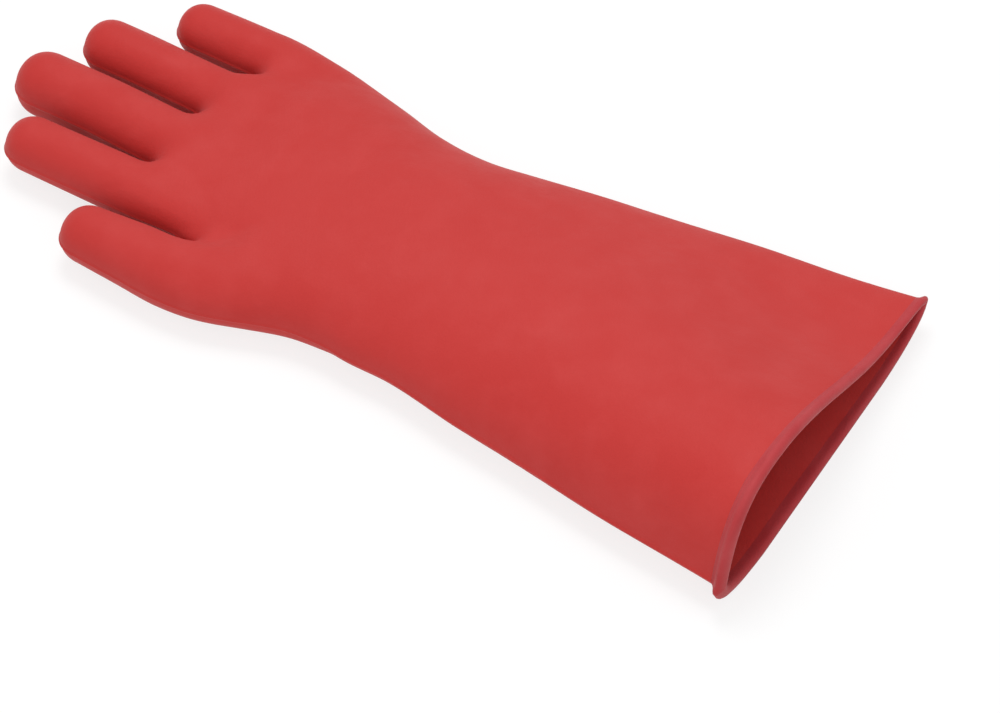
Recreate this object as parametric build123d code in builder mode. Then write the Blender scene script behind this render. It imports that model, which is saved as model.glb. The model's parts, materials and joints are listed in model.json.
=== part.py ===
from build123d import *
import os
from math import cos, radians, sin, tan

os.makedirs("parts", exist_ok=True)

# An electrician's rubber glove for the right hand, lying on its palm.
# +X runs from the cuff to the fingertips, +Y to the thumb side, +Z up through the
# back of the hand. The origin is under the middle of the glove, on the table.
# The rubber is cut where the hand inside it bends: each bend is a short fold ring,
# and the stiff lengths between are a back half and a palm half that meet at the
# side seam.

# --- rubber ---
wall = 1.8
seam_height = 13.0            # height of the side seam over the table

# --- lengths along X, the hand's own measured from the wrist crease ---
sleeve_length = 177.0         # cuff edge to wrist crease
web_low = 99.0                # web between the little and the ring finger
web_high = 108.0              # webs between the other fingers
web_thumb = 73.0

# --- widths from the middle line to the little side and to the thumb side ---
cuff_half_widths = (78.3, 78.3)
wrist_half_widths = (52.4, 55.5)

# --- the crown, the highest line of the back ---
cuff_crown = (42.0, 48.0)     # sideways place, height
wrist_crown = (2.0, 38.0)
palm_dip = 0.4                # cut off flat at the table
palm_flat_share = 0.55        # of each half width

# fullness of a round quarter of the outline: 0.55 is an ellipse, less is flatter
round_quarter = 0.55

# --- how the back rises from the little side to the crown ---
# each point: share of the way sideways, share of the rise, and how much of the wall's
# thickness the inner face lies in from it, sideways and down
wrist_rise = (
    (0.0, 0.0, 1.0, 0.0),
    (0.0, 0.33, 1.0, 0.33),
    (0.135, 0.63, 0.865, 0.63),
    (0.37, 0.865, 0.63, 0.865),
    (0.67, 1.0, 0.33, 1.0),
    (1.0, 1.0, 0.0, 1.0),
)
# at the cuff the back lies low beside the arm, and then arches over it
cuff_rise = (
    (0.0, 0.0, 1.0, 0.0),
    (0.0, 0.13, 1.0, 0.9),
    (0.15, 0.14, 0.6, 1.0),
    (0.55, 0.10, 0.3, 1.0),
    (0.62, 1.0, 0.3, 1.0),
    (1.0, 1.0, 0.0, 1.0),
)

# --- palm, without the mound of the thumb ---
palm_stations = (
    # along, to the little side, to the thumb side, crown
    (38.0, 59.2, 49.0, (-3.5, 33.6)),
    (78.0, 66.9, 40.8, (-12.0, 27.8)),
    (115.0, 69.0, 37.4, (-16.0, 22.6)),
)

# --- mound of the thumb, an oval that leads into the thumb ---
mound_stations = (
    # along, middle, half width, height over the seam, depth under the seam
    (5.0, 31.5, 17.0, 12.0, 12.0),
    (25.0, 35.0, 21.2, 13.8, 15.5),
    (43.0, 42.2, 20.4, 13.8, 15.5),
    (59.0, 50.0, 17.2, 13.5, 14.8),
)

# --- web nose, seen from the side ---
nose_length = 22.0
nose_height = 13.5
nose_flare = 44.0             # run over which the tongue behind the nose opens to clear the back

# --- cuff bead ---
bead_length = 6.0
bead_proud = 2.2
bead_lip = 0.9                # rubber left flat at each end of the roll
roll_step = 30                # degrees round the roll from one outline to the next

# --- wrist fold ---
wrist_fold_length = 20.0

# --- digits ---
fold_clearance = 0.6          # spare length of each fold ring
web_clearance = 1.0           # from a web to the first fold
rear_length = 34.0            # the part of each digit that fades into the palm


class Digit:
    """One finger or the thumb: a round tube that ends in a dome."""

    def __init__(self, name, middle, root_radius, tip_radius, tip, web, base_length, bend):
        self.name = name
        self.middle = middle
        self.root_radius = root_radius
        self.tip_radius = tip_radius
        self.tip = wrist_x + tip
        self.root = wrist_x + web
        # fold rings are long enough for the tube beyond them to swing clear
        spread = 2 * tan(radians(bend / 2))
        self.knuckle_start = self.root + web_clearance
        self.knuckle_end = self.knuckle_start + root_radius * spread + fold_clearance
        self.joint_start = self.knuckle_end + base_length
        self.joint_end = self.joint_start + root_radius * spread + fold_clearance


middle_tip = 183.0
overall_length = sleeve_length + middle_tip
cuff_x = -overall_length / 2
wrist_x = cuff_x + sleeve_length

digits = (
    # name, middle, root radius, tip radius, tip, web, base length, bend in degrees
    Digit("little", -58.8, 10.3, 9.8, 144.5, web_low, 9.0, 50.0),
    Digit("ring", -32.1, 11.1, 10.6, 170.7, max(web_low, web_high), 14.0, 60.0),
    Digit("middle", -3.2, 11.7, 11.5, middle_tip, web_high, 19.0, 60.0),
    Digit("index", 26.9, 11.1, 10.7, 167.5, web_high, 13.0, 60.0),
    Digit("thumb", 54.3, 12.9, 11.7, 123.0, web_thumb, 8.5, 50.0),
)
digit = {d.name: d for d in digits}

clear = cuff_crown[1]         # far enough past the glove for any cutting form
BACK = 1
PALM = -1
SIDES = {BACK: "back", PALM: "palm"}


def quarter(side, crest, fullness):
    """A quarter of the outline, upright at its side and level at its crest."""
    Bezier(
        side,
        (side[0], side[1] + fullness * (crest[1] - side[1])),
        (crest[0] + fullness * (side[0] - crest[0]), crest[1]),
        crest,
    )


def rise_between(share):
    """The rise at a share of the way from the wrist to the cuff."""
    return [
        [w + share * (c - w) for w, c in zip(at_wrist, at_cuff)]
        for at_wrist, at_cuff in zip(wrist_rise, cuff_rise)
    ]


def outline(x, little, thumb, crown, rise, inset, side):
    """Half of the outline across the hand at x: the back arch or the palm arch."""
    little_seam = (-little + inset, seam_height)
    thumb_seam = (thumb - inset, seam_height)
    crest = (crown[0], crown[1] - inset)
    floor = inset - palm_dip
    flat_little = (-little * palm_flat_share, floor)
    flat_thumb = (thumb * palm_flat_share, floor)
    with BuildSketch(Plane.YZ.offset(x)) as across:
        with BuildLine():
            Line(little_seam, thumb_seam)
            if side == BACK:
                Bezier(*(
                    (
                        -little + over * (crown[0] + little) + inset * inward,
                        seam_height + up * (crown[1] - seam_height) - inset * down,
                    )
                    for over, up, inward, down in rise
                ))
                quarter(thumb_seam, crest, round_quarter)
            else:
                quarter(little_seam, flat_little, round_quarter)
                quarter(thumb_seam, flat_thumb, round_quarter)
                Line(flat_little, flat_thumb)
        make_face()
    return across.sketch


def sleeve_outline(share, inset, side):
    """The outline in the sleeve, at a share of the way from the wrist to the cuff."""
    little, thumb = (w + share * (c - w) for w, c in zip(wrist_half_widths, cuff_half_widths))
    crown = tuple(w + share * (c - w) for w, c in zip(wrist_crown, cuff_crown))
    x = wrist_x - share * sleeve_length
    return outline(x, little, thumb, crown, rise_between(share), inset, side)


def body_form(inset, side):
    """Sleeve, wrist and palm up to the webs, without the thumb and the fingers."""
    outlines = [sleeve_outline(share, inset, side) for share in (1, 2 / 3, 1 / 3, 0)]
    for along, little, thumb, crown in palm_stations:
        x = wrist_x + along
        outlines.append(outline(x, little, thumb, crown, wrist_rise, inset, side))
    with BuildPart() as form:
        loft(outlines)
    return form.part


def nose(web, inset, from_y, to_y):
    """A tongue between two places along Y that ends in a round nose at a web."""
    half = nose_height - inset
    length = nose_length - inset
    start_x = wrist_x + web - nose_length
    top = seam_height + half
    bottom = seam_height - half
    with BuildSketch(Plane.XZ.offset(-to_y)) as side:
        with BuildLine():
            EllipticalCenterArc((start_x, seam_height), length, half,
                                start_angle=-90, arc_size=180)
            Polyline(
                (start_x, top),
                (start_x - nose_flare, top + clear),
                (cuff_x - clear, top + clear),
                (cuff_x - clear, bottom - clear),
                (start_x - nose_flare, bottom - clear),
                (start_x, bottom),
            )
        make_face()
    extrude(side.sketch, amount=to_y - from_y)


def mound_form(inset, side):
    """Half of the mound at the base of the thumb."""
    thumb = digit["thumb"]
    root = (thumb.root - wrist_x, thumb.middle) + 3 * (thumb.root_radius,)
    with BuildPart() as form:
        for along, middle, half_width, height, depth in mound_stations + (root,):
            across = half_width - inset
            reach = (height if side == BACK else depth) - inset
            with BuildSketch(Plane.YZ.offset(wrist_x + along)):
                with BuildLine():
                    EllipticalCenterArc((middle, seam_height), across, reach,
                                        start_angle=0, arc_size=180 * side)
                    Line((middle - across, seam_height), (middle + across, seam_height))
                make_face()
        loft()
    return form.part


def digit_form(d, inset, side):
    """Half of a solid digit: a long fade-in from the palm, a tapered tube and a dome."""
    root = d.root_radius - inset
    tip = d.tip_radius - inset
    rear = rear_length - inset
    dome_x = d.tip - d.tip_radius
    with BuildPart() as form:
        with BuildSketch(Plane.XY.offset(seam_height)):
            with BuildLine():
                EllipticalCenterArc((d.root, d.middle), rear, root, start_angle=90, arc_size=90)
                Line((d.root, d.middle + root), (dome_x, d.middle + tip))
                EllipticalCenterArc((dome_x, d.middle), tip, tip, start_angle=0, arc_size=90)
                Line((d.tip - inset, d.middle), (d.root - rear, d.middle))
            make_face()
        revolve(axis=Axis((0, d.middle, seam_height), (1, 0, 0)), revolution_arc=180 * side)
    return form.part


def above(form, height):
    """What lies above a height over the table."""
    return split(form, Plane.XY.offset(height), Keep.TOP, mode=Mode.PRIVATE)


def between(form, start, end):
    """The stretch of a form between two places along X."""
    beyond_start = split(form, Plane.YZ.offset(start), Keep.TOP, mode=Mode.PRIVATE)
    return split(beyond_start, Plane.YZ.offset(end), Keep.BOTTOM, mode=Mode.PRIVATE)


def write(part, name):
    """Label a piece and write its STEP file."""
    part.label = name
    export_step(part, f"parts/{name}.step")


# --- cuff bead: the rolled edge of the sleeve ---
def roll_outline(turn, side):
    """Half of the bead's outline at an angle round the roll, 0 at the cuff edge."""
    share = 1 - bead_length / sleeve_length * (1 - cos(radians(turn))) / 2
    shrink = wall - bead_lip
    return sleeve_outline(share, shrink - (bead_proud + shrink) * sin(radians(turn)), side)


bead_share = 1 - bead_length / sleeve_length
with BuildPart() as cuff_bead:
    for side in SIDES:
        loft([roll_outline(turn, side) for turn in range(0, 181, roll_step)])
    split(bisect_by=Plane.XY, keep=Keep.TOP)
    for side in SIDES:
        hollow = loft([sleeve_outline(share, wall, side) for share in (1, bead_share)],
                      mode=Mode.PRIVATE)
        add(above(hollow, wall), mode=Mode.SUBTRACT)
write(cuff_bead.part, "cuff_bead")

# --- sleeve: a back half and a palm half that meet at the side seam ---
fold_start = wrist_x - wrist_fold_length / 2
fold_end = wrist_x + wrist_fold_length / 2
shells = {}
for side, name in SIDES.items():
    with BuildPart() as shell:
        add(above(body_form(0, side), 0))
        add(above(body_form(wall, side), wall), mode=Mode.SUBTRACT)
    shells[side] = shell.part

    with BuildPart() as gauntlet:
        add(between(shells[side], cuff_x + bead_length, fold_start))
    write(gauntlet.part, f"gauntlet_{name}")

# --- wrist fold: one soft ring ---
with BuildPart() as wrist_fold:
    for side in SIDES:
        add(between(shells[side], fold_start, fold_end))
write(wrist_fold.part, "wrist_fold")


# --- hand: palm, webs, mound of the thumb and the roots of the digits ---
def hand_form(inset, side):
    """Half of the hand, solid. Its digits are cut at their first fold."""
    ring = digit["ring"].middle
    with BuildPart() as tongues:
        nose(web_low, inset, -max(cuff_half_widths) - clear, ring)
        nose(web_high, inset, ring, max(cuff_half_widths) + clear)
    form = body_form(inset, side) & tongues.part
    form += mound_form(inset, side)
    for d in digits:
        end = Plane.YZ.offset(d.knuckle_start + inset)
        form += split(digit_form(d, inset, side), end, Keep.BOTTOM, mode=Mode.PRIVATE)
    return above(form, inset)


for side, name in SIDES.items():
    with BuildPart() as hand:
        add(hand_form(0, side))
        add(hand_form(wall, side), mode=Mode.SUBTRACT)
        split(bisect_by=Plane.YZ.offset(fold_end), keep=Keep.TOP)
    write(hand.part, f"hand_{name}")


# --- digits: knuckle fold, base, joint fold and tip ---
for d in digits:
    for side, name in SIDES.items():
        with BuildPart() as skin:
            add(digit_form(d, 0, side))
            add(digit_form(d, wall, side), mode=Mode.SUBTRACT)
        shells[side] = skin.part

        with BuildPart() as base:
            add(between(skin.part, d.knuckle_end, d.joint_start))
        write(base.part, f"{d.name}_base_{name}")

        with BuildPart() as tip:
            add(skin.part)
            split(bisect_by=Plane.YZ.offset(d.joint_end), keep=Keep.TOP)
        write(tip.part, f"{d.name}_tip_{name}")

    with BuildPart() as knuckle_fold:
        for side in SIDES:
            add(between(shells[side], d.knuckle_start, d.knuckle_end))
    write(knuckle_fold.part, f"{d.name}_knuckle_fold")

    with BuildPart() as joint_fold:
        for side in SIDES:
            add(between(shells[side], d.joint_start, d.joint_end))
    write(joint_fold.part, f"{d.name}_joint_fold")
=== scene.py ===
"""Red rubber insulating glove, palm down. One skin is worked out from the frame's own
joints and boxes and cut into zones at the folds; the zones between the folds ride with their
bodies, and the fold zones are baked in place.
Lengths in the shape functions are millimetres in the row frame; meshes are metres."""
import json
import math

import bpy
import numpy as np
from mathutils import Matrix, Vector

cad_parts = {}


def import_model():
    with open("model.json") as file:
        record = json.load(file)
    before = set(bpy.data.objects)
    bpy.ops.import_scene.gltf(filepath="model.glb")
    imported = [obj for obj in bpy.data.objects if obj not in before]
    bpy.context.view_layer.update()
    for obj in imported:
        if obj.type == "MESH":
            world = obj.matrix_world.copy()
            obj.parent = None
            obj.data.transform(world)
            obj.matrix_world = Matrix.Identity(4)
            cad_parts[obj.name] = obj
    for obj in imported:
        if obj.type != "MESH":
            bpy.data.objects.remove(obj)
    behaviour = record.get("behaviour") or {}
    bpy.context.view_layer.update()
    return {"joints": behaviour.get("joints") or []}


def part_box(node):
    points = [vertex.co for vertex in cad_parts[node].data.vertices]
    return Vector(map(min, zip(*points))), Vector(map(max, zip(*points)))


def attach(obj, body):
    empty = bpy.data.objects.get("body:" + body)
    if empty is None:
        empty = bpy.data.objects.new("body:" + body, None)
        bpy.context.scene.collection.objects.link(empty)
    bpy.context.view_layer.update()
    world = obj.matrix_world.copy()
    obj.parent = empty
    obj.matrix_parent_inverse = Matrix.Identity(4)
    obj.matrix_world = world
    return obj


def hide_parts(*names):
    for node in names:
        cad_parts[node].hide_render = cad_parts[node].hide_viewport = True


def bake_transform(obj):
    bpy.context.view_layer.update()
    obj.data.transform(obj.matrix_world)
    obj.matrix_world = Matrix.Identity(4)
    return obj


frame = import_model()

MM = 0.001
WALL = 1.8
DIGITS = ("little", "ring", "middle", "index", "thumb")
FINGERS = DIGITS[:4]


def span(node):
    """Lowest and highest corner of a CAD node, in mm."""
    low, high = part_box(node)
    return np.array(low) / MM, np.array(high) / MM


joint_at = {j["name"]: np.array(j["pos_m"]) / MM for j in frame["joints"]}
SEAM = joint_at["middle_knuckle"][2]
JOINT_X = joint_at["wrist_bend"][0]
CUFF_X = span("cuff_bead")[0][0]
BEAD_END = span("cuff_bead")[1][0]
WRIST = [span("wrist_fold")[0][0], span("wrist_fold")[1][0]]


# ---------------------------------------------------------------- curves
def smooth_through(x, xs, ys):
    """A smooth curve through given points, with slopes taken from their neighbours."""
    xs, ys = np.asarray(xs, float), np.asarray(ys, float)
    slope = np.gradient(ys, xs)
    x = np.clip(x, xs[0], xs[-1])
    i = np.clip(np.searchsorted(xs, x) - 1, 0, len(xs) - 2)
    h = xs[i + 1] - xs[i]
    t = (x - xs[i]) / h
    return ((2 * t**3 - 3 * t**2 + 1) * ys[i] + (t**3 - 2 * t**2 + t) * h * slope[i]
            + (3 * t**2 - 2 * t**3) * ys[i + 1] + (t**3 - t**2) * h * slope[i + 1])


def ease(x, start, end):
    """0 before start, 1 after end, smooth between."""
    t = np.clip((x - start) / (end - start), 0, 1)
    return t * t * (3 - 2 * t)


def soft_min(a, b, k):
    """The smaller of two distances, rounded over a width k where they meet."""
    h = np.maximum(k - np.abs(a - b), 0) / k
    return np.minimum(a, b) - h * h * k / 4


def soft_max(a, b, k):
    """The larger of two distances, rounded over a width k where they meet."""
    return -soft_min(-a, -b, k)


# ---------------------------------------------------------------- body of the glove
# along X, reach to the little side, reach to the thumb side, crest of the back (Y, Z)
BODY = np.array((
    (-184.0, 80.1, 78.1, 43.0, 49.4),
    (-147.0, 74.5, 73.7, 35.0, 47.4),
    (-110.0, 70.5, 69.9, 26.5, 44.8),
    (-60.0, 62.1, 62.5, 15.0, 41.4),
    (-25.0, 55.6, 56.6, 7.0, 39.4),
    (-3.0, 52.7, 55.8, 3.0, 38.2),
    (17.0, 54.5, 51.6, 0.0, 36.2),
    (38.0, 60.2, 48.4, -4.0, 33.4),
    (55.0, 64.3, 44.4, -7.0, 31.3),
    (67.0, 65.8, 41.0, -9.2, 29.8),
    (80.0, 64.9, 37.6, -11.4, 28.2),
    (112.0, 62.0, 36.4, -15.0, 24.6),
))
# handles of the curve from each side up to the crest: shares of the way over and up,
# at the wrist and at the cuff, where the back lies low and then arches over the arm
LITTLE_RISE = np.array((
    ((0, 0), (0, 0.33), (0.135, 0.63), (0.37, 0.865), (0.67, 1), (1, 1)),
    ((0, 0), (0, 0.13), (0.15, 0.14), (0.55, 0.08), (0.62, 1), (1, 1)),
))
THUMB_RISE = np.array((
    ((0, 0), (0, 0.55), (0.45, 1), (1, 1)),
    ((0, 0), (0.12, 0.54), (0.28, 1), (1, 1)),
))
ROUND = np.array(((0, 0), (0, 0.55), (0.45, 1), (1, 1)))
FLAT_SHARE = 0.5
CENTRE_Z = 9.0
CURVE_POINTS = 300
TABLE_X = np.linspace(BODY[0, 0], BODY[-1, 0], 200)
TABLE_TURNS = 1080


def bezier(points):
    t = np.linspace(0, 1, CURVE_POINTS)[:, None]
    n = len(points) - 1
    return sum(math.comb(n, k) * t**k * (1 - t)**(n - k) * p for k, p in enumerate(points))


def rise(side, crest, handles):
    """A curve from a side to a crest, as points (Y, Z)."""
    return bezier(np.array(side) + handles * (np.array(crest) - side))


def outline(x):
    """The closed outline across the glove at x, as points (Y, Z)."""
    little, thumb, crest_y, crest_z = (
        float(smooth_through(x, BODY[:, 0], BODY[:, k])) for k in range(1, 5))
    share = np.clip((JOINT_X - x) / (JOINT_X - CUFF_X), 0, 1)
    over_little = LITTLE_RISE[0] + share * (LITTLE_RISE[1] - LITTLE_RISE[0])
    over_thumb = THUMB_RISE[0] + share * (THUMB_RISE[1] - THUMB_RISE[0])
    low_little, low_thumb = (-little * FLAT_SHARE, 0.0), (thumb * FLAT_SHARE, 0.0)
    return np.concatenate((
        rise((thumb, SEAM), (crest_y, crest_z), over_thumb),
        rise((-little, SEAM), (crest_y, crest_z), over_little)[::-1],
        rise((-little, SEAM), low_little, ROUND),
        np.linspace(low_little, low_thumb, CURVE_POINTS),
        rise((thumb, SEAM), low_thumb, ROUND)[::-1],
    ))


def centre_y(x):
    """Where the radii of the outline at x start from, half way out to its crest."""
    return 0.5 * smooth_through(x, BODY[:, 0], BODY[:, 3])


def body_table():
    """Radius of the outline, and how square it lies to its radius, for each x and turn."""
    turns = np.linspace(-math.pi, math.pi, TABLE_TURNS, endpoint=False)
    radii = np.empty((len(TABLE_X), TABLE_TURNS))
    for i, x in enumerate(TABLE_X):
        p = outline(x) - (centre_y(x), CENTRE_Z)
        angle = np.arctan2(p[:, 1], p[:, 0])
        order = np.argsort(angle)
        radii[i] = np.interp(turns, angle[order], np.hypot(*p.T)[order], period=2 * math.pi)
    bend = (np.roll(radii, -1, 1) - np.roll(radii, 1, 1)) * TABLE_TURNS / (4 * math.pi)
    return radii, radii / np.hypot(radii, bend)


RADII, SQUARE = body_table()


def from_table(table, x, turn):
    """The table's value at each x and turn, straight between its entries."""
    i = np.clip((x - TABLE_X[0]) / (TABLE_X[1] - TABLE_X[0]), 0, len(TABLE_X) - 1.001)
    j = (turn + math.pi) / (2 * math.pi) * TABLE_TURNS
    i0, j0 = i.astype(int), np.floor(j).astype(int)
    a, b = i - i0, j - j0
    j0, j1 = j0 % TABLE_TURNS, (j0 + 1) % TABLE_TURNS
    return ((1 - a) * ((1 - b) * table[i0, j0] + b * table[i0, j1])
            + a * ((1 - b) * table[i0 + 1, j0] + b * table[i0 + 1, j1]))


def body_distance(x, y, z):
    """Distance to the sleeve, wrist and palm, without webs and digits."""
    y = y - centre_y(x)
    r = np.hypot(y, z - CENTRE_Z)
    turn = np.arctan2(z - CENTRE_Z, y)
    return (r - from_table(RADII, x, turn)) * from_table(SQUARE, x, turn)


# ---------------------------------------------------------------- webs between the digits
WEB_GAP = 1.0
WEB_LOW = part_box("little_knuckle_fold")[0][0] / MM - WEB_GAP
WEB_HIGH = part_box("ring_knuckle_fold")[0][0] / MM - WEB_GAP
WEB_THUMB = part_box("thumb_knuckle_fold")[0][0] / MM - WEB_GAP
WEB_STEP = (-46.0, -34.0)
NOSE_LENGTH = 10.0
NOSE_HEIGHT = 12.2
NOSE_GROWTH = 0.006
THUMB_NOSE_LENGTH = 7.0
THUMB_NOSE_HEIGHT = 9.0
THUMB_NOSE_REACH = 12.0
THUMB_WEB_Y = 41.0
THUMB_WEB_HALF_WIDTH = 8.0
THUMB_WEB_LENGTH = 24.0


def oval_distance(u, v, a, b):
    """Distance to an oval of half axes a and b, good near its edge."""
    tiny = 1e-6
    near = np.sqrt((u / a)**2 + (v / b)**2 + tiny)
    steep = np.sqrt((u / a**2)**2 + (v / b**2)**2 + tiny / np.minimum(a, b)**2)
    return near * (near - 1) / steep


def nose_distance(x, y, z):
    """The palm thins to a round nose that ends at the webs."""
    web = WEB_LOW + (WEB_HIGH - WEB_LOW) * ease(y, *WEB_STEP)
    start = web - NOSE_LENGTH
    past = np.maximum(x - start, 0)
    before = np.maximum(start - x, 0)
    return oval_distance(past, z - SEAM, NOSE_LENGTH, NOSE_HEIGHT + NOSE_GROWTH * before**2)


def thumb_web_distance(x, y, z):
    """The web between thumb and index finger fills the fork of the two to a round nose."""
    start = WEB_THUMB - THUMB_NOSE_LENGTH
    past = np.maximum(x - start, 0)
    before = np.clip(start - x, 0, THUMB_NOSE_REACH)
    nose = oval_distance(past, z - SEAM, THUMB_NOSE_LENGTH,
                         THUMB_NOSE_HEIGHT + NOSE_GROWTH * before**2)
    beside = np.abs(y - THUMB_WEB_Y) - THUMB_WEB_HALF_WIDTH
    return np.maximum(np.maximum(nose, beside), WEB_THUMB - THUMB_WEB_LENGTH - x)


# ---------------------------------------------------------------- digits
# the tubes grow, shift and lean against the CAD's, and are squarer under the seam, to
# follow the outline and the gaps between the fingers in the photograph
FADE = 46.0
FADE_FLOOR = -20.0
LEAN_REACH = (-5.0, 40.0)
EXTRA_DEPTH = 0.35
DOME_POWER = 2.25
SWELL = {"little": 0.5, "ring": 0.3, "middle": 1.1, "index": 0.4, "thumb": -0.2}
SHIFT = {"little": 0.1, "ring": 0.2, "middle": 0.4, "index": -0.2, "thumb": 0.0}
SQUARE_UNDER = {"little": 2.5, "ring": 2.5, "middle": 2.7, "index": 2.0, "thumb": 2.0}
LEAN = {"little": 0.0, "ring": 0.8, "middle": 1.5, "index": 0.0, "thumb": 0.0}


def dome_distance(past, rho, length, r):
    """Distance to a blunt dome, from the way past its start and the way off its middle."""
    blunt = ((past / length)**DOME_POWER
             + (rho / np.maximum(r, 0.1))**DOME_POWER)**(1 / DOME_POWER)
    return (blunt - 1) * r


class Tube:
    """A finger: a round tube that fades into the palm and ends in a blunt dome."""

    def __init__(self, name):
        low, high = span(f"{name}_knuckle_fold")
        tip_low, tip_high = span(f"{name}_tip_back")
        self.middle = (low[1] + high[1]) / 2 + SHIFT[name]
        self.lean = LEAN[name]
        self.square = SQUARE_UNDER[name]
        self.root = low[0]
        self.depth = (high[1] - low[1]) / 2 + EXTRA_DEPTH
        self.root_radius = (high[1] - low[1]) / 2 + SWELL[name]
        self.tip = tip_high[0]
        self.tip_radius = (tip_high[1] - tip_low[1]) / 2 + SWELL[name]
        self.dome = self.tip - self.tip_radius

    def radius(self, x):
        straight = self.root_radius + (self.tip_radius - self.root_radius) * np.clip(
            (x - self.root) / (self.dome - self.root), 0, 1)
        fade = 1 - (np.maximum(self.root - x, 0) / FADE)**2
        return straight * np.maximum(fade, FADE_FLOOR)

    def distance(self, x, y, z):
        r = self.radius(x)
        squash = np.where(z < SEAM, self.root_radius / self.depth, 1.0)
        start, end = LEAN_REACH
        middle = self.middle + self.lean * (1 - ease(x, self.root + start, self.root + end))
        power = np.where(z < SEAM, self.square, 2.0)
        rho = (np.abs(y - middle)**power + np.abs((z - SEAM) * squash)**power
               + 1e-9)**(1 / power)
        past = np.maximum(x - self.dome, 0)
        return np.where(past > 0, dome_distance(past, rho, self.tip_radius, r), rho - r)


fingers = {name: Tube(name) for name in FINGERS}
thumb_tube = Tube("thumb")

# the thumb and its mound: along X, middle, half width, height over and depth under the seam
THUMB = np.array((
    (-10.0, 27.0, 8.0, 8.0, 6.0),
    (4.0, 31.5, 16.6, 13.5, 8.5),
    (22.0, 35.0, 20.8, 15.0, 12.0),
    (40.0, 42.2, 20.5, 14.6, 14.0),
    (56.0, 50.0, 17.3, 13.6, 13.4),
    (71.0, thumb_tube.middle, 14.1, 13.2, 13.2),
    (90.0, thumb_tube.middle, 12.9, 12.4, 12.4),
    (thumb_tube.dome, thumb_tube.middle, thumb_tube.tip_radius, thumb_tube.tip_radius,
     thumb_tube.tip_radius),
))


def thumb_distance(x, y, z):
    """Distance to the thumb and the mound behind it."""
    middle, width, over, under = (smooth_through(x, THUMB[:, 0], THUMB[:, k])
                                  for k in range(1, 5))
    side = oval_distance(y - middle, z - SEAM, width, np.where(z > SEAM, over, under))
    past = np.maximum(x - thumb_tube.dome, 0)
    r = thumb_tube.tip_radius
    rho = np.hypot(y - middle, z - SEAM)
    behind = np.maximum(THUMB[0, 0] - x, 0)
    return np.where(past > 0, dome_distance(past, rho, r, r), side + behind)


# ---------------------------------------------------------------- the whole glove
NOSE_BLEND = 3.0
FINGER_BLEND = 7.0
MOUND_BLEND = 12.0
CROTCH_BLEND = 2.2
MOUND_TO_CROTCH_X = (46.0, 66.0)
FINGER_TO_CROTCH_Y = (34.0, 39.0)
SEAM_RIDGE = 0.5
SEAM_WIDTH = 0.5
# waves of the sleeve: height, length along X, length along Y, start
WAVES = ((0.55, 23.0, 31.0, 0.0), (0.35, 13.5, -24.0, 1.7), (0.25, 41.0, 9.5, 0.6))


def undulation(x, y, z):
    """Slow unevenness of the soft sleeve, about a millimetre, fading out over the hand."""
    sleeve = 1 - ease(x, -30.0, 20.0)
    wave = sum(h * np.sin(x / along + y / across + start) for h, along, across, start in WAVES)
    palm = 0.25 * np.sin(x / 15.0 + 0.4) * np.sin(y / 13.0 + 1.1)
    lift = ease(z, 4.0, 14.0)
    return (sleeve * wave + (1 - sleeve) * palm) * lift


def glove_distance(p):
    """Roughly the distance in mm from points to the glove's outer skin, inside negative."""
    x, y, z = p.T
    palm = soft_max(body_distance(x, y, z), nose_distance(x, y, z), NOSE_BLEND)
    blend = MOUND_BLEND + (CROTCH_BLEND - MOUND_BLEND) * ease(x, *MOUND_TO_CROTCH_X)
    d = soft_min(palm, thumb_distance(x, y, z), blend)
    d = soft_min(d, thumb_web_distance(x, y, z), CROTCH_BLEND)
    tubes = np.min([t.distance(x, y, z) for t in fingers.values()], axis=0)
    blend = FINGER_BLEND + (CROTCH_BLEND - FINGER_BLEND) * ease(y, *FINGER_TO_CROTCH_Y)
    d = soft_min(d, tubes, blend)
    ridge = SEAM_RIDGE * np.exp(-((z - SEAM) / SEAM_WIDTH)**2)
    return np.maximum(d - undulation(x, y, z) - ridge, -z)


def slope_of(p, step=0.25):
    """The distance's gradient at points."""
    g = np.empty_like(p)
    for k in range(3):
        d = np.zeros(3)
        d[k] = step
        g[:, k] = (glove_distance(p + d) - glove_distance(p - d)) / (2 * step)
    return g


# ---------------------------------------------------------------- mesh of the skin
CHUNKS = 12
SNAP_PASSES = 4


def spaced(*stretches):
    """Grid lines over stretches (start, end, step)."""
    parts = [np.arange(a, b - 1e-6, (b - a) / round((b - a) / s)) for a, b, s in stretches]
    return np.concatenate(parts + [[stretches[-1][1]]])


def skin_grid():
    """Grid lines along X, Y and Z, closer at the digits and at the seam."""
    xs = spaced((CUFF_X + 1, -20, 2.4), (-20, 60, 2.0), (60, 184, 1.4))
    ys = spaced((-80, 80, 1.6))
    zs = spaced((-2, 11, 1.5), (11, SEAM - 1.2, 0.8), (SEAM - 1.2, SEAM + 1.2, 0.3),
                (SEAM + 1.2, 16, 0.8), (16, 54, 1.6))
    return xs, ys, zs


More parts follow.
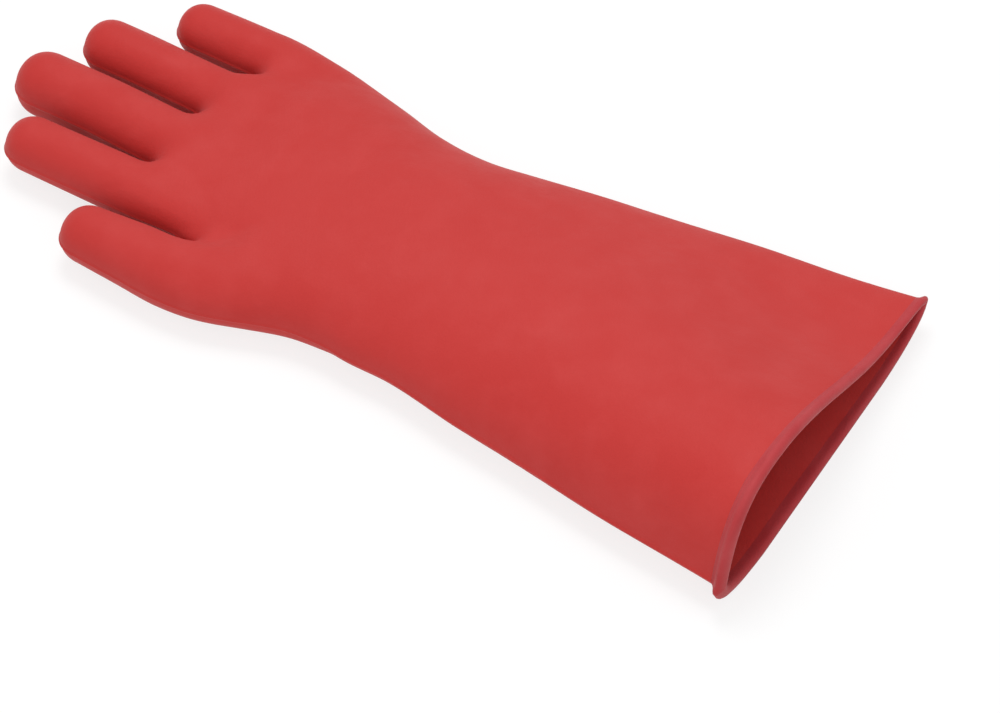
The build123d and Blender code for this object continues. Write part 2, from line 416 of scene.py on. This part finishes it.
def surface_net(axes):
    """Quads along the zero level of the distance on a grid, one vertex to each crossed cell."""
    shape = tuple(len(a) for a in axes)
    grid = np.stack(np.meshgrid(*axes, indexing="ij"), -1).reshape(-1, 3)
    chunks = np.array_split(grid, CHUNKS)
    value = np.concatenate([glove_distance(c) for c in chunks]).reshape(shape)
    inside = value < 0
    cells = tuple(n - 1 for n in shape)
    total = np.zeros(cells + (3,))
    count = np.zeros(cells)
    crossings = []
    for k in range(3):
        low = [slice(None)] * 3
        high = [slice(None)] * 3
        low[k], high[k] = slice(None, -1), slice(1, None)
        a, b = value[tuple(low)], value[tuple(high)]
        crossed = np.argwhere(inside[tuple(low)] != inside[tuple(high)])
        av, bv = a[tuple(crossed.T)], b[tuple(crossed.T)]
        t = av / (av - bv)
        point = np.stack([axes[m][crossed[:, m]] for m in range(3)], -1).astype(float)
        point[:, k] += t * (axes[k][crossed[:, k] + 1] - axes[k][crossed[:, k]])
        u, v = (k + 1) % 3, (k + 2) % 3
        ring = []
        for du, dv in ((1, 1), (0, 1), (0, 0), (1, 0)):
            cell = crossed.copy()
            cell[:, u] -= du
            cell[:, v] -= dv
            ring.append(cell)
        whole = np.all([(c >= 0).all(1) & (c < cells).all(1) for c in ring], axis=0)
        for cell in ring:
            ok = (cell >= 0).all(1) & (cell < cells).all(1)
            index = tuple(cell[ok].T)
            np.add.at(total, index, point[ok])
            np.add.at(count, index, 1)
        crossings.append((np.stack(ring, 1)[whole], (av < 0)[whole]))
    used = count > 0
    number = np.full(cells, -1)
    number[used] = np.arange(used.sum())
    points = total[used] / count[used][:, None]
    quads = []
    for ring, out in crossings:
        q = number[ring[..., 0], ring[..., 1], ring[..., 2]]
        q[~out] = q[~out][:, ::-1]
        quads.append(q)
    return points, np.concatenate(quads)


def make_skin():
    """Points, outward normals and quads of the outer skin."""
    points, quads = surface_net(skin_grid())
    for _ in range(SNAP_PASSES):
        g = slope_of(points)
        step = glove_distance(points) / np.maximum((g**2).sum(1), 0.05)
        points = points - np.clip(step, -1, 1)[:, None] * g
    normal = slope_of(points, 0.4)
    return points, normal / np.linalg.norm(normal, axis=1)[:, None], quads


# ---------------------------------------------------------------- materials
def add(nodes, kind, **settings):
    """A new shader node with its input values; an underscore in a name stands for a space."""
    made = nodes.new(f"ShaderNode{kind}")
    for key, value in settings.items():
        made.inputs[key.replace("_", " ")].default_value = value
    return made


def shade(name, base, light, dark):
    """Matte moulded rubber: mottled red, powder bloom, fine pebbled bump."""
    m = bpy.data.materials.new(name)
    m.use_nodes = True
    n, link = m.node_tree.nodes, m.node_tree.links
    n.clear()
    out = add(n, "OutputMaterial")
    rubber = add(n, "BsdfPrincipled", Specular_IOR_Level=0.18, Sheen_Weight=0.06,
                 Sheen_Roughness=0.5)
    link.new(rubber.outputs["BSDF"], out.inputs["Surface"])
    place = add(n, "TexCoord")

    def noise(scale, detail, rough=0.5):
        t = add(n, "TexNoise", Scale=scale, Detail=detail, Roughness=rough)
        link.new(place.outputs["Object"], t.inputs["Vector"])
        return t.outputs["Fac"]

    def ramp(value, low, high, a, c):
        r = add(n, "MapRange", From_Min=low, From_Max=high, To_Min=a, To_Max=c)
        link.new(value, r.inputs["Value"])
        return r.outputs["Result"]

    def mix(factor, a, c):
        x = add(n, "Mix")
        x.data_type = "RGBA"
        link.new(factor, x.inputs["Factor"])
        for socket, value in ((x.inputs["A"], a), (x.inputs["B"], c)):
            if isinstance(value, tuple):
                socket.default_value = (*value, 1)
            else:
                link.new(value, socket)
        return x.outputs["Result"]

    broad = ramp(noise(9.0, 2.0), 0.35, 0.65, 0.0, 1.0)
    mottle = ramp(noise(55.0, 4.0, 0.55), 0.45, 0.8, 0.0, 0.6)
    colour = mix(mottle, mix(broad, base, dark), light)
    link.new(colour, rubber.inputs["Base Color"])
    link.new(ramp(noise(60.0, 3.0), 0.3, 0.7, 0.52, 0.66), rubber.inputs["Roughness"])
    pebbles = add(n, "Bump", Strength=0.25, Distance=0.0004)
    link.new(noise(1400.0, 3.0), pebbles.inputs["Height"])
    swell = add(n, "Bump", Strength=0.18, Distance=0.002)
    link.new(noise(110.0, 2.0), swell.inputs["Height"])
    link.new(pebbles.outputs["Normal"], swell.inputs["Normal"])
    link.new(swell.outputs["Normal"], rubber.inputs["Normal"])
    return m


RUBBER = shade("glove_rubber", (0.560, 0.041, 0.037), (0.590, 0.054, 0.050),
               (0.540, 0.036, 0.032))
BEAD = shade("bead_rubber", (0.490, 0.046, 0.054), (0.550, 0.078, 0.085),
             (0.450, 0.037, 0.042))


# ---------------------------------------------------------------- pieces
BEAD_SEAT = 3.0
COLUMN_MARGIN = 2.6


def make_piece(name, points, faces, normals, material):
    """A smooth mesh in the scene, with its material."""
    mesh = bpy.data.meshes.new(name)
    mesh.from_pydata((points * MM).tolist(), [], faces.tolist())
    mesh.update()
    mesh.polygons.foreach_set("use_smooth", np.ones(len(mesh.polygons), bool))
    if normals is not None:
        mesh.normals_split_custom_set_from_vertices(normals.tolist())
    mesh.materials.append(material)
    obj = bpy.data.objects.new(name, mesh)
    bpy.context.scene.collection.objects.link(obj)
    return obj


def cut_piece(name, chosen):
    """The chosen quads of the skin with the rubber's inner face behind them."""
    points, normals, quads = skin
    used, faces = np.unique(quads[chosen], return_inverse=True)
    faces = faces.reshape(-1, 4)
    outer, away = points[used], normals[used]
    inner = outer - WALL * away
    both = np.concatenate((outer, inner))
    all_faces = np.concatenate((faces, faces[:, ::-1] + len(used)))
    return make_piece(name, both, all_faces, np.concatenate((away, -away)), RUBBER)


skin = make_skin()
centre = skin[0][skin[2]].mean(1)
taken = centre[:, 0] < CUFF_X + BEAD_SEAT
for name in DIGITS:
    tube = thumb_tube if name == "thumb" else fingers[name]
    knuckle, joint = span(f"{name}_knuckle_fold"), span(f"{name}_joint_fold")
    column = (np.abs(centre[:, 1] - tube.middle) < tube.root_radius + COLUMN_MARGIN) & ~taken
    marks = (knuckle[0][0], knuckle[1][0], joint[0][0], joint[1][0], math.inf)
    zones = ("knuckle_fold", "base", "joint_fold", "tip")
    for zone, start, end in zip(zones, marks, marks[1:]):
        chosen = column & (centre[:, 0] >= start) & (centre[:, 0] < end)
        taken |= chosen
        piece = cut_piece(f"{name}_{zone}_skin", chosen)
        if zone == "knuckle_fold":
            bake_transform(piece)
        elif zone == "joint_fold":
            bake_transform(piece)
        else:
            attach(piece, f"{name}_{zone}")
        if zone in ("base", "tip"):
            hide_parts(f"{name}_{zone}_back", f"{name}_{zone}_palm")
        else:
            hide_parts(f"{name}_{zone}")

hand = cut_piece("hand_skin", ~taken & (centre[:, 0] >= WRIST[1]))
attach(hand, "hand")
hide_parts("hand_back", "hand_palm")
fold = cut_piece("wrist_fold_skin",
                 ~taken & (centre[:, 0] >= WRIST[0]) & (centre[:, 0] < WRIST[1]))
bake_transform(fold)
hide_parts("wrist_fold")
sleeve = cut_piece("gauntlet_skin", ~taken & (centre[:, 0] < WRIST[0]))
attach(sleeve, "gauntlet")
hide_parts("gauntlet_back", "gauntlet_palm")


# ---------------------------------------------------------------- cuff bead
LOOP_X = CUFF_X + 3.2
LOOP_POINTS = 480
SEARCH_TURNS = 2400
SEARCH_RADII = (2.0, 110.0)
SEARCH_HALVINGS = 30


def edge_loop(x, count):
    """The skin's outline at x as evenly spaced points (Y, Z), counter-clockwise from the
    thumb side."""
    turn = np.linspace(0, 2 * math.pi, SEARCH_TURNS, endpoint=False)
    low, high = (np.full(len(turn), r) for r in SEARCH_RADII)
    for _ in range(SEARCH_HALVINGS):
        r = (low + high) / 2
        p = np.stack((np.full(len(turn), x), centre_y(x) + r * np.cos(turn),
                      CENTRE_Z + r * np.sin(turn)), 1)
        out = glove_distance(p) > 0
        high, low = np.where(out, r, high), np.where(out, low, r)
    loop = np.vstack((p[:, 1:], p[:1, 1:]))
    length = np.concatenate(([0], np.cumsum(np.linalg.norm(np.diff(loop, axis=0), axis=1))))
    at = np.linspace(0, length[-1], count, endpoint=False)
    return np.stack([np.interp(at, length, loop[:, k]) for k in range(2)], 1)


# the roll's section: share of its length from the open end, share of its height over the skin
ROLL = np.array((
    (1.00, -0.10), (0.90, 0.02), (0.80, 0.14), (0.70, 0.36), (0.60, 0.66), (0.49, 0.91),
    (0.37, 1.00), (0.25, 0.95), (0.14, 0.76), (0.06, 0.48), (0.01, 0.14), (0.00, -0.22),
    (0.03, -0.56), (0.09, -0.84), (0.19, -1.03), (0.33, -1.10), (0.50, -1.06), (0.68, -0.96),
    (0.84, -0.87), (1.00, -0.80)))
# height of the roll: a thin lip, more where it is full, and more again at the thumb edge
LIP_HEIGHT, FULL_HEIGHT, EDGE_HEIGHT = 0.8, 1.3, 1.5
FULL_Y = (-75.0, 40.0)
EDGE_Y = (50.0, 74.0)
ROLL_DEPTH = 2.1
THIN_LENGTH = 0.72
# the mould line's nub on the roll: height on the little side and on the thumb side, width
NUB_LITTLE, NUB_THUMB, NUB_WIDTH = 1.1, 0.45, 0.9


def bead():
    """The rolled edge: full on the thumb side, a thin lip on the little side."""
    count, ring = LOOP_POINTS, len(ROLL)
    loop = edge_loop(LOOP_X, count)
    along = np.roll(loop, -3, 0) - np.roll(loop, 3, 0)
    along /= np.linalg.norm(along, axis=1)[:, None]
    away = np.stack((along[:, 1], -along[:, 0]), 1)
    full = ease(loop[:, 0], *FULL_Y)
    steps = np.linspace(0, 2 * math.pi, count, endpoint=False)
    uneven = 1 + 0.035 * np.sin(9 * steps + 0.5) + 0.02 * np.sin(23 * steps + 2.0)
    seam = np.exp(-((loop[:, 1] - SEAM) / NUB_WIDTH)**2)
    height = LIP_HEIGHT + FULL_HEIGHT * full + EDGE_HEIGHT * ease(loop[:, 0], *EDGE_Y)
    height = height * uneven + np.where(loop[:, 0] < 0, NUB_LITTLE, NUB_THUMB) * seam
    length = (BEAD_END - CUFF_X) * (THIN_LENGTH + (1 - THIN_LENGTH) * full)
    points = np.empty((count, ring, 3))
    for k, (share, lift) in enumerate(ROLL):
        out = lift * height if lift > 0 else lift * ROLL_DEPTH
        points[:, k, 0] = CUFF_X + share * length
        points[:, k, 1:] = loop + away * np.broadcast_to(out, count)[:, None]
    points[..., 2] = np.maximum(points[..., 2], 0.0)
    i, k = np.meshgrid(np.arange(count), np.arange(ring), indexing="ij")
    n = np.arange(count * ring).reshape(count, ring)
    quads = np.stack((n[i, k], n[i, (k + 1) % ring], n[(i + 1) % count, (k + 1) % ring],
                      n[(i + 1) % count, k]), -1)
    return points.reshape(-1, 3), quads.reshape(-1, 4)


points, quads = bead()
roll = make_piece("cuff_bead_roll", points, quads, None, BEAD)
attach(roll, "gauntlet")
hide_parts("cuff_bead")


# ---------------------------------------------------------------- stage, light, camera
FLOOR_HALF = 6.0
FLOOR_GREY = (0.86, 0.86, 0.86, 1)
FLOOR_GLOW = 1.08
FLOOR_GLOW_SHARE = 0.72
WHITE = (1, 1, 1, 1)
ROOM_LIGHT = 0.56
LAMP_SIZE = 0.8
LAMP_AIM = (0, 0, 0.02)
LAMPS = (("key", (0.25, -0.4, 1.6), 11.6), ("fill", (-0.6, 1.1, 1.0), 4.5))
AZIMUTH, ELEVATION, FAR = math.radians(-149.11), math.radians(50.04), 1.6
AIM = Vector((-0.0589, 0.0309, 0.020))
SENSOR, LENS = 36, 155.87


def straight_ray(n, link):
    """1 on rays from the camera, and on mirrored and passed-through ones."""
    rays = add(n, "LightPath")
    value = rays.outputs["Is Camera Ray"]
    for kind in ("Is Glossy Ray", "Is Transmission Ray"):
        larger = add(n, "Math")
        larger.operation = "MAXIMUM"
        link.new(value, larger.inputs[0])
        link.new(rays.outputs[kind], larger.inputs[1])
        value = larger.outputs[0]
    return value


def mixed(n, link, factor, first, second):
    """A shader between two others; the factor is a number or a socket."""
    mix = add(n, "MixShader")
    if isinstance(factor, float):
        mix.inputs["Fac"].default_value = factor
    else:
        link.new(factor, mix.inputs["Fac"])
    link.new(first.outputs[0], mix.inputs[1])
    link.new(second.outputs[0], mix.inputs[2])
    return mix


def stage():
    """A plain white floor."""
    mesh = bpy.data.meshes.new("floor")
    s = FLOOR_HALF
    mesh.from_pydata([(-s, -s, 0), (s, -s, 0), (s, s, 0), (-s, s, 0)], [], [(0, 1, 2, 3)])
    floor = bpy.data.objects.new("floor", mesh)
    bpy.context.scene.collection.objects.link(floor)
    m = bpy.data.materials.new("floor_white")
    m.use_nodes = True
    n, link = m.node_tree.nodes, m.node_tree.links
    n.clear()
    out = add(n, "OutputMaterial")
    plain = add(n, "BsdfDiffuse", Color=FLOOR_GREY)
    glow = add(n, "Emission", Strength=FLOOR_GLOW)
    bright = mixed(n, link, FLOOR_GLOW_SHARE, plain, glow)
    seen = mixed(n, link, straight_ray(n, link), plain, bright)
    link.new(seen.outputs[0], out.inputs["Surface"])
    mesh.materials.append(m)


def world():
    """White round the camera's view, soft light for everything else."""
    w = bpy.data.worlds.new("studio")
    bpy.context.scene.world = w
    w.use_nodes = True
    n, link = w.node_tree.nodes, w.node_tree.links
    n.clear()
    out = add(n, "OutputWorld")
    room = add(n, "Background", Color=WHITE, Strength=ROOM_LIGHT)
    white = add(n, "Background", Color=WHITE, Strength=1.0)
    seen = mixed(n, link, straight_ray(n, link), room, white)
    link.new(seen.outputs[0], out.inputs["Surface"])


def place_object(name, data, at, looks):
    """A lamp or camera in the scene, turned to look along a direction."""
    obj = bpy.data.objects.new(name, data)
    obj.location = at
    obj.rotation_mode = "QUATERNION"
    obj.rotation_quaternion = looks.to_track_quat("-Z", "Y")
    bpy.context.scene.collection.objects.link(obj)
    return obj


def lamp(name, at, power):
    data = bpy.data.lights.new(name, "AREA")
    data.shape = "DISK"
    data.size = LAMP_SIZE
    data.energy = power
    place_object(name, data, at, Vector(LAMP_AIM) - Vector(at))


def camera():
    data = bpy.data.cameras.new("camera")
    data.sensor_width = SENSOR
    data.lens = LENS
    back = Vector((math.sin(AZIMUTH) * math.cos(ELEVATION),
                   -math.cos(AZIMUTH) * math.cos(ELEVATION), math.sin(ELEVATION)))
    bpy.context.scene.camera = place_object("camera", data, AIM + back * FAR, -back)


stage()
world()
for settings in LAMPS:
    lamp(*settings)
camera()
bpy.context.scene.view_settings.view_transform = "Standard"
